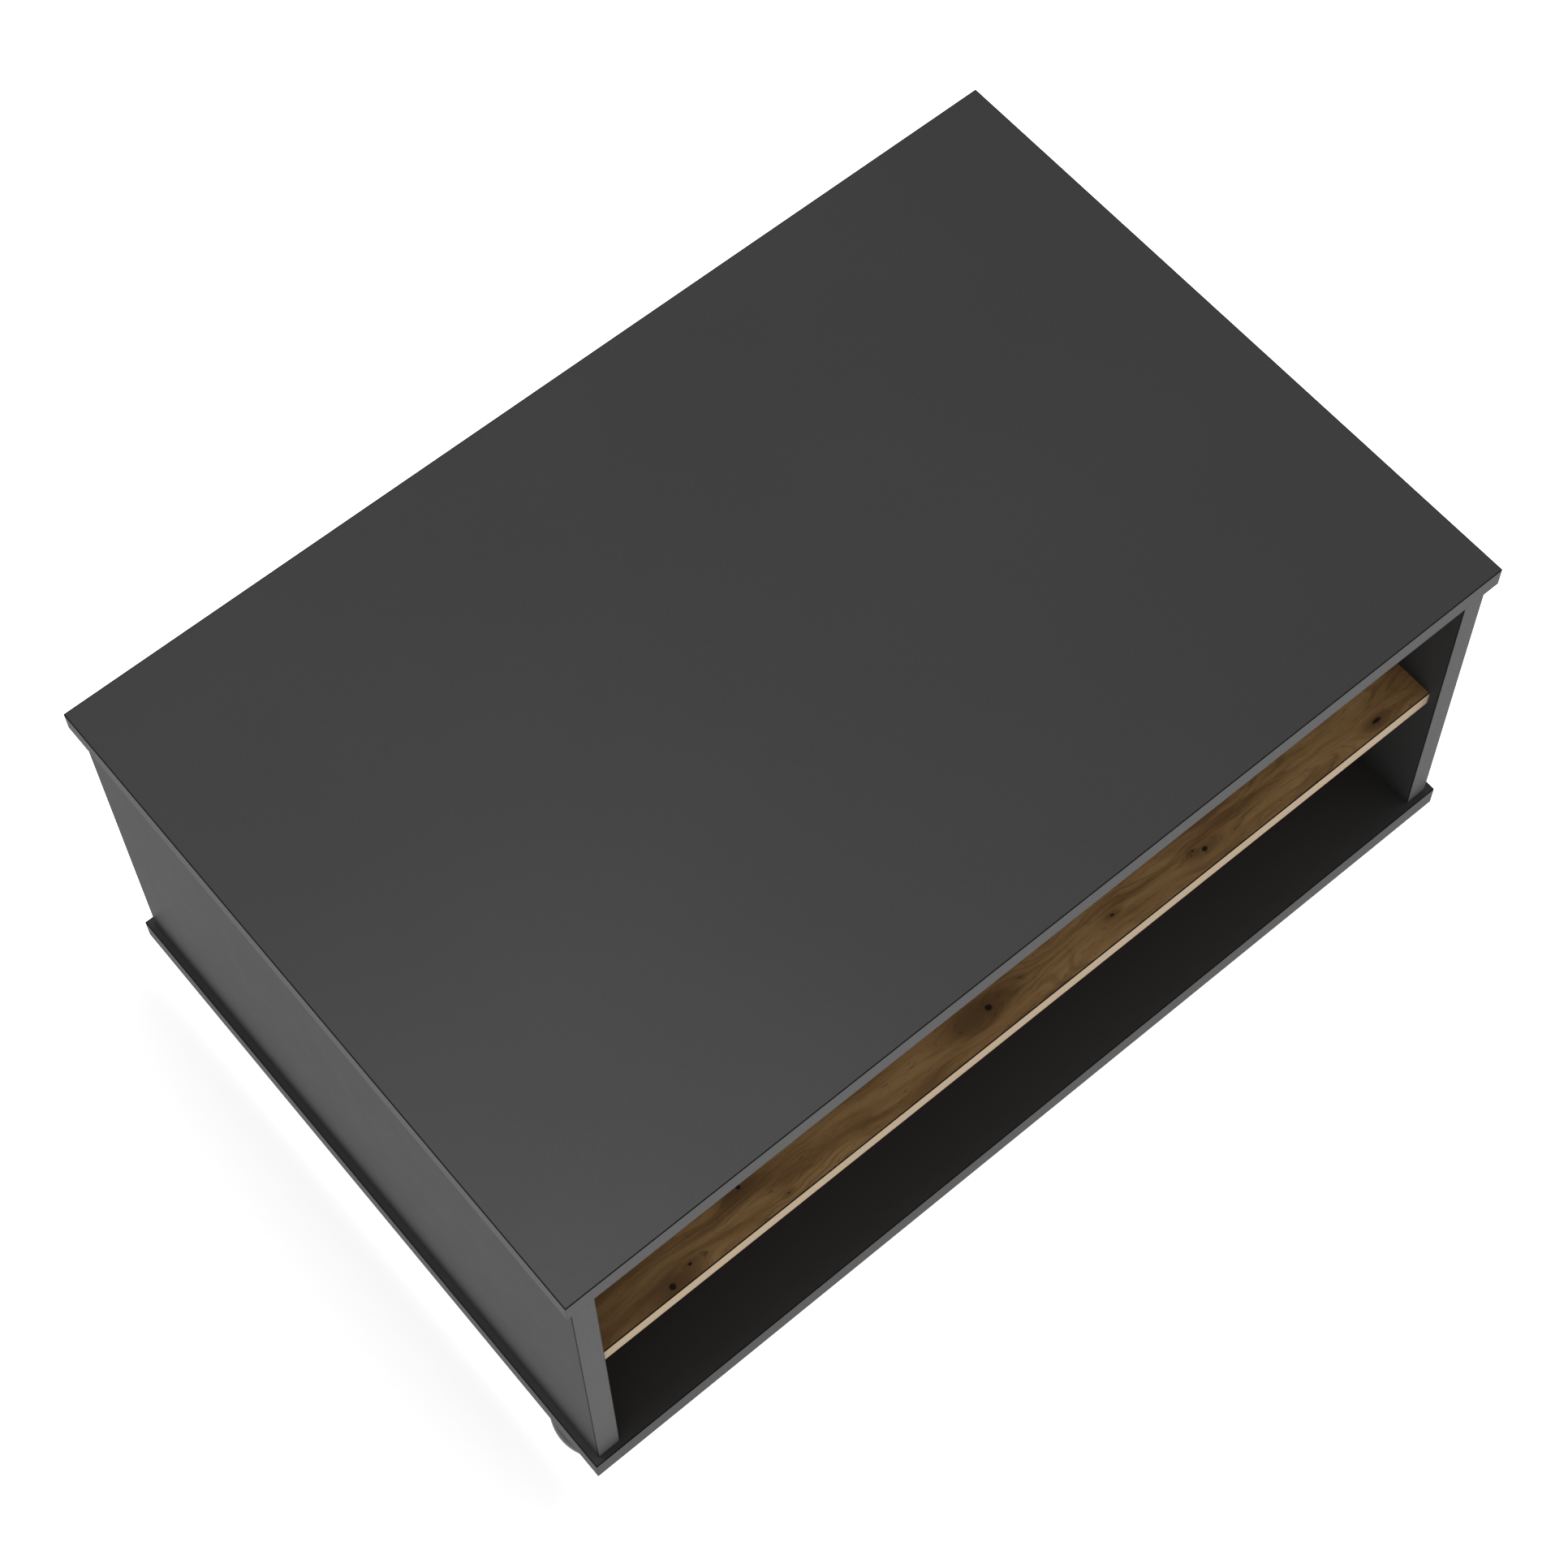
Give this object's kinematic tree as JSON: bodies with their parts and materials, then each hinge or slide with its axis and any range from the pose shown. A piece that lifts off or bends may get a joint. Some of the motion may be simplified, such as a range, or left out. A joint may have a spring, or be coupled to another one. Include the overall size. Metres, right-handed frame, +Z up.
{
  "type": "lift top coffee table",
  "caption": "Rectangular coffee table with an open oak shelf, bun feet, and a top that lifts up and forward on parallel arms.",
  "frame": {"origin": "on the floor under the middle of the table", "axes": "+Z up, +X to the right along the long side, +Y to the back; the carcass is open towards -Y"},
  "size_m": [1, 0.668, 0.4778],
  "materials": {
    "graphite_board": "matt graphite melamine on particle board",
    "graphite_edging": "matt graphite edge banding",
    "oak_board": "matt oak decor with knots",
    "oak_edging": "light oak edge banding",
    "grey_foot": "satin grey lacquer on turned wood",
    "black_steel": "black powder coat",
    "zinc_steel": "bright zinc plate",
    "cast_zinc": "die-cast, dull",
    "spring_steel": "oiled spring wire",
    "nylon": "natural nylon",
    "black_rubber": "matt",
    "beech": "raw beech with flutes"
  },
  "bodies": {
    "carcass": {"base_panel": "graphite_board", "base_edge_bands": "graphite_edging", "left_side_panel": "graphite_board", "right_side_panel": "graphite_board", "side_edge_bands": "graphite_edging", "oak_shelf": "oak_board", "shelf_front_band": "oak_edging", "back_panel": "graphite_board", "foot_front_left": "grey_foot", "foot_front_right": "grey_foot", "foot_back_left": "grey_foot", "foot_back_right": "grey_foot", "foot_glides": "black_rubber", "foot_bolts": "zinc_steel", "foot_inserts": "zinc_steel", "base_dowels": "beech", "shelf_dowels": "beech", "back_dowels": "beech", "base_screws": "zinc_steel", "shelf_cam_bolts": "zinc_steel", "back_cam_bolts": "zinc_steel", "shelf_cam_locks": "cast_zinc", "back_cam_locks": "cast_zinc", "rest_buffers": "black_rubber", "left_base_bracket": "black_steel", "right_base_bracket": "black_steel", "base_bracket_screws": "zinc_steel", "front_lower_pins": "zinc_steel", "rear_lower_pins": "zinc_steel", "stop_pins": "zinc_steel", "pivot_washers": "nylon", "left_lift_spring": "spring_steel", "right_lift_spring": "spring_steel"},
    "front_arms": {"left_front_arm": "black_steel", "right_front_arm": "black_steel", "front_arm_bushes": "nylon", "cross_tube": "black_steel"},
    "rear_arms": {"left_rear_arm": "black_steel", "right_rear_arm": "black_steel", "rear_arm_bushes": "nylon"},
    "top": {"top_panel": "graphite_board", "top_edge_bands": "graphite_edging", "left_top_bracket": "black_steel", "right_top_bracket": "black_steel", "top_bracket_screws": "zinc_steel", "front_upper_pins": "zinc_steel", "rear_upper_pins": "zinc_steel"}
  },
  "joints": [
    {"name": "lift", "type": "hinge", "parent": "carcass", "child": "front_arms", "pos_m": [0, -0.1, 0.39607], "axis": [1, 0, 0], "range_deg": [0, 108], "deforming": ["left_lift_spring", "right_lift_spring"]},
    {"name": "rear_arm_swing", "type": "hinge", "parent": "carcass", "child": "rear_arms", "pos_m": [0, -0.01012, 0.35223], "axis": [1, 0, 0], "range_deg": [0, 108]},
    {"name": "top_level", "type": "hinge", "parent": "front_arms", "child": "top", "pos_m": [0, 0.09696, 0.4308], "axis": [1, 0, 0], "range_deg": [-108, 0]}
  ],
  "couplings": [
    {"joint": "rear_arm_swing", "follows": "lift", "ratio": 1},
    {"joint": "top_level", "follows": "lift", "ratio": -1}
  ]
}
